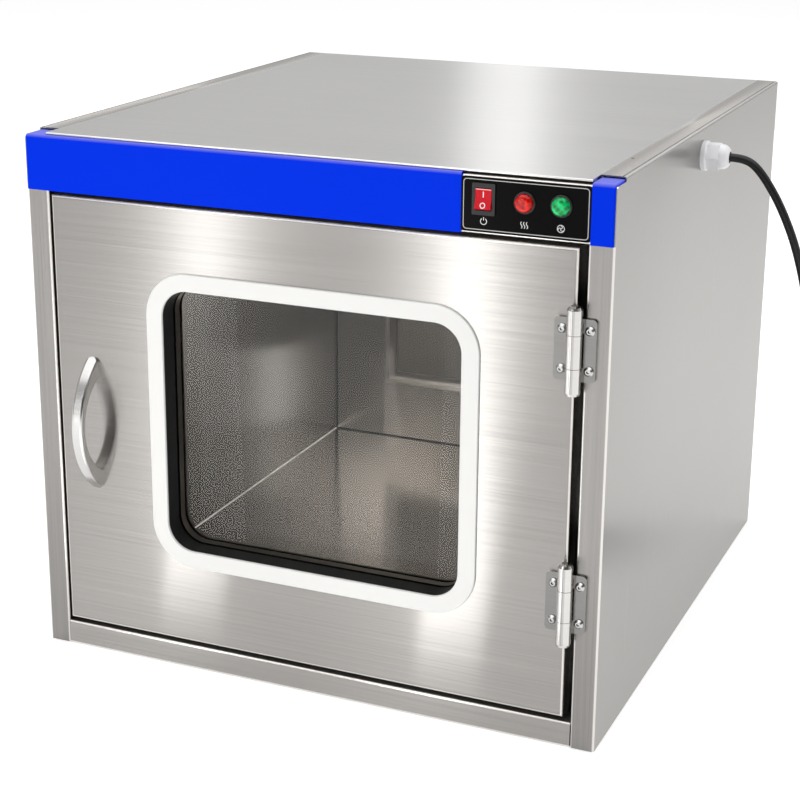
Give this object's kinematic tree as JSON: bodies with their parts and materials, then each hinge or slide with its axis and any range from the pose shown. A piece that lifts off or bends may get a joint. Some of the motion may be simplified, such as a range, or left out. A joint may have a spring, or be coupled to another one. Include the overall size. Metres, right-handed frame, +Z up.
{
  "type": "cleanroom pass box",
  "caption": "Stainless steel cleanroom pass box with a windowed hinged door, blue header with power switch and pilot lamps, heater, blower and fine filter behind the chamber.",
  "frame": {"origin": "middle of the cabinet's footprint, on the surface it stands on", "axes": "+X to the right seen from the door, +Y to the rear, +Z up"},
  "size_m": [0.9205, 0.6758, 0.543],
  "materials": {
    "steel": "brushed stainless, horizontal grain",
    "chamber_steel": "brushed stainless liner",
    "blue_cover": "gloss blue",
    "control_plate": "gloss black",
    "switch_black": "black moulding",
    "rocker_red": "red moulding",
    "lens_red": "red lens",
    "lens_green": "green lens",
    "gasket_white": "off-white frame",
    "rubber_black": "black rubber",
    "glass": "clear",
    "satin_steel": "satin",
    "hinge_steel": "polished stainless",
    "screw_steel": "polished",
    "gland_white": "white nylon",
    "cord_black": "black sheath",
    "galvanised": "galvanised",
    "filter_media": "pleated media block"
  },
  "bodies": {
    "cabinet": {"back_panel": "steel", "back_screws": "screw_steel", "blower_housing": "galvanised", "blower_lamp_bezel": "switch_black", "blower_lamp_lens": "lens_green", "blower_motor": "galvanised", "bottom_panel": "steel", "chamber_back_centre": "chamber_steel", "chamber_back_left": "chamber_steel", "chamber_back_right": "chamber_steel", "chamber_ceiling": "chamber_steel", "chamber_floor": "chamber_steel", "chamber_left_wall": "chamber_steel", "chamber_right_wall": "chamber_steel", "control_plate": "control_plate", "cord_coil": "cord_black", "fascia_cover_left": "blue_cover", "fascia_cover_right": "blue_cover", "filter_frame": "steel", "filter_screen": "steel", "fine_filter": "filter_media", "frame_leaf_lower": "hinge_steel", "frame_leaf_screws": "screw_steel", "frame_leaf_upper": "hinge_steel", "gland_body": "gland_white", "gland_locknut": "gland_white", "gland_nut": "gland_white", "gland_seal": "rubber_black", "header_rail": "steel", "heater_element": "galvanised", "heater_lamp_bezel": "switch_black", "heater_lamp_lens": "lens_red", "hinge_pins": "hinge_steel", "left_side_panel": "steel", "magnet_catch": "rubber_black", "plug_body": "cord_black", "plug_pins": "screw_steel", "power_cord": "cord_black", "right_side_panel": "steel", "stop_frame": "steel", "supply_plenum": "galvanised", "switch_housing": "switch_black", "terminal_block": "switch_black", "thermostat": "switch_black", "top_panel": "steel"},
    "door": {"door_skin": "steel", "door_inner_pan": "steel", "window_gasket": "gasket_white", "glazing_seal": "rubber_black", "outer_glass": "glass", "inner_glass": "glass", "handle": "satin_steel", "handle_screws": "screw_steel", "door_seal": "rubber_black", "strike_plate": "steel", "door_leaf_lower": "hinge_steel", "door_leaf_upper": "hinge_steel", "door_leaf_screws": "screw_steel"},
    "rocker": {"rocker": "rocker_red"},
    "impeller": {"impeller": "switch_black"}
  },
  "joints": [
    {"name": "door_swing", "type": "hinge", "parent": "cabinet", "child": "door", "pos_m": [0.2685, -0.3257, 0.27], "axis": [0, 0, 1], "range_deg": [0, 180]},
    {"name": "power_rocker", "type": "hinge", "parent": "cabinet", "child": "rocker", "pos_m": [0.1795, -0.31836, 0.518], "axis": [1, 0, 0], "range_deg": [0, 18]},
    {"name": "blower_spin", "type": "hinge", "parent": "cabinet", "child": "impeller", "pos_m": [0, 0.03, 0.49], "axis": [0, 0, 1], "continuous": true}
  ]
}
